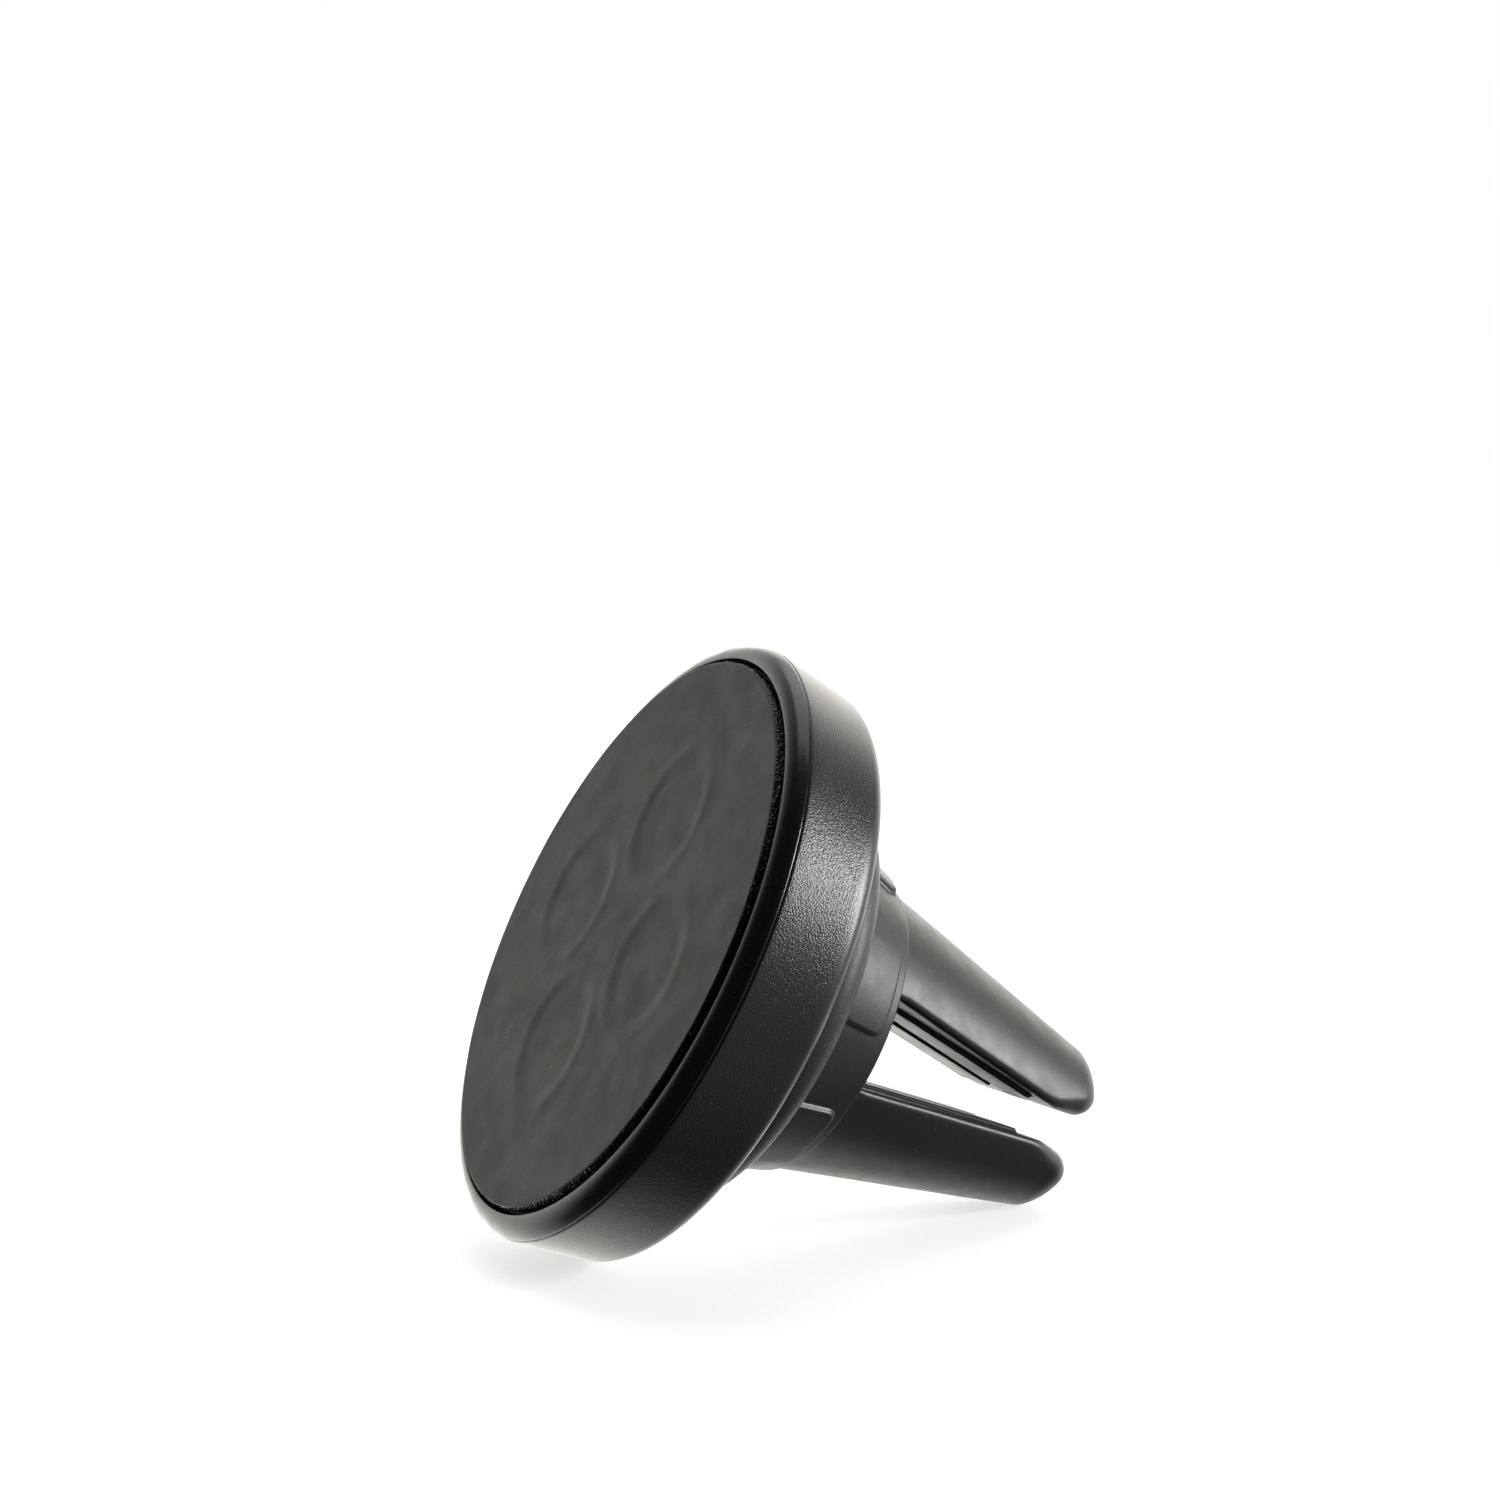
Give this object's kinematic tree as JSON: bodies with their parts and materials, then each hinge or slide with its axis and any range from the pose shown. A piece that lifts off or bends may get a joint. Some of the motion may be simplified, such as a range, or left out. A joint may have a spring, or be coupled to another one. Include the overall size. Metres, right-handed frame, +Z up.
{
  "type": "magnetic car phone mount",
  "caption": "Round magnetic phone holder with a padded face, a rotating head and a split rubber clip that pushes onto an air vent blade.",
  "frame": {"origin": "on the table under the middle of the part's box, as it rests on the head's rear edge and on the tips of the two lower fingers", "axes": "+Z up; the phone face looks along -Y and 27.6 degrees up; the clip's fingers point along +Y and down; X runs along the wide blade slot"},
  "size_m": [0.045, 0.0462, 0.042],
  "materials": {
    "pad_rubber": "matte, smooth, slightly dusty",
    "adhesive_foam": "glossy foam edge",
    "bezel_plastic": "satin to glossy",
    "shell_plastic": "fine leather grain",
    "cover_plastic": "satin",
    "carrier_plastic": "moulded",
    "magnet_nickel": "bright nickel plating",
    "steel_plate": "zinc plated",
    "screw_steel": "zinc plated",
    "clip_rubber": "soft matte",
    "core_nylon": "moulded nylon",
    "friction_silicone": "soft"
  },
  "bodies": {
    "clip": {"clip_core": "core_nylon", "collar_sleeve": "clip_rubber", "friction_ring": "friction_silicone", "retaining_washer": "screw_steel", "pivot_screw": "screw_steel"},
    "head": {"face_pad": "pad_rubber", "pad_adhesive": "adhesive_foam", "front_bezel": "bezel_plastic", "magnet_carrier": "carrier_plastic", "magnet_1": "magnet_nickel", "magnet_2": "magnet_nickel", "magnet_3": "magnet_nickel", "magnet_4": "magnet_nickel", "steel_yoke": "steel_plate", "rear_shell": "shell_plastic", "back_cover": "cover_plastic", "shell_screws": "screw_steel"},
    "finger_1": {"finger_core_1": "core_nylon", "finger_sleeve_1": "clip_rubber"},
    "finger_2": {"finger_core_2": "core_nylon", "finger_sleeve_2": "clip_rubber"},
    "finger_3": {"finger_core_3": "core_nylon", "finger_sleeve_3": "clip_rubber"},
    "finger_4": {"finger_core_4": "core_nylon", "finger_sleeve_4": "clip_rubber"}
  },
  "joints": [
    {"name": "head_swivel", "type": "hinge", "parent": "clip", "child": "head", "pos_m": [0, -0.00251, 0.01691], "axis": [0, -0.8862, 0.4633], "continuous": true},
    {"name": "finger_1_flex", "type": "hinge", "parent": "clip", "child": "finger_1", "pos_m": [0.00771, 0.00594, 0.0212], "axis": [0.7071, -0.3276, -0.6266], "range_deg": [-1.5, 6], "stiffness_Nm_per_rad": 0.5},
    {"name": "finger_2_flex", "type": "hinge", "parent": "clip", "child": "finger_2", "pos_m": [-0.00771, 0.00594, 0.0212], "axis": [0.7071, 0.3276, 0.6266], "range_deg": [-1.5, 6], "stiffness_Nm_per_rad": 0.5},
    {"name": "finger_3_flex", "type": "hinge", "parent": "clip", "child": "finger_3", "pos_m": [-0.00771, -0.00121, 0.00754], "axis": [-0.7071, 0.3276, 0.6266], "range_deg": [-1.5, 6], "stiffness_Nm_per_rad": 0.5},
    {"name": "finger_4_flex", "type": "hinge", "parent": "clip", "child": "finger_4", "pos_m": [0.00771, -0.00121, 0.00754], "axis": [-0.7071, -0.3276, -0.6266], "range_deg": [-1.5, 6], "stiffness_Nm_per_rad": 0.5}
  ]
}
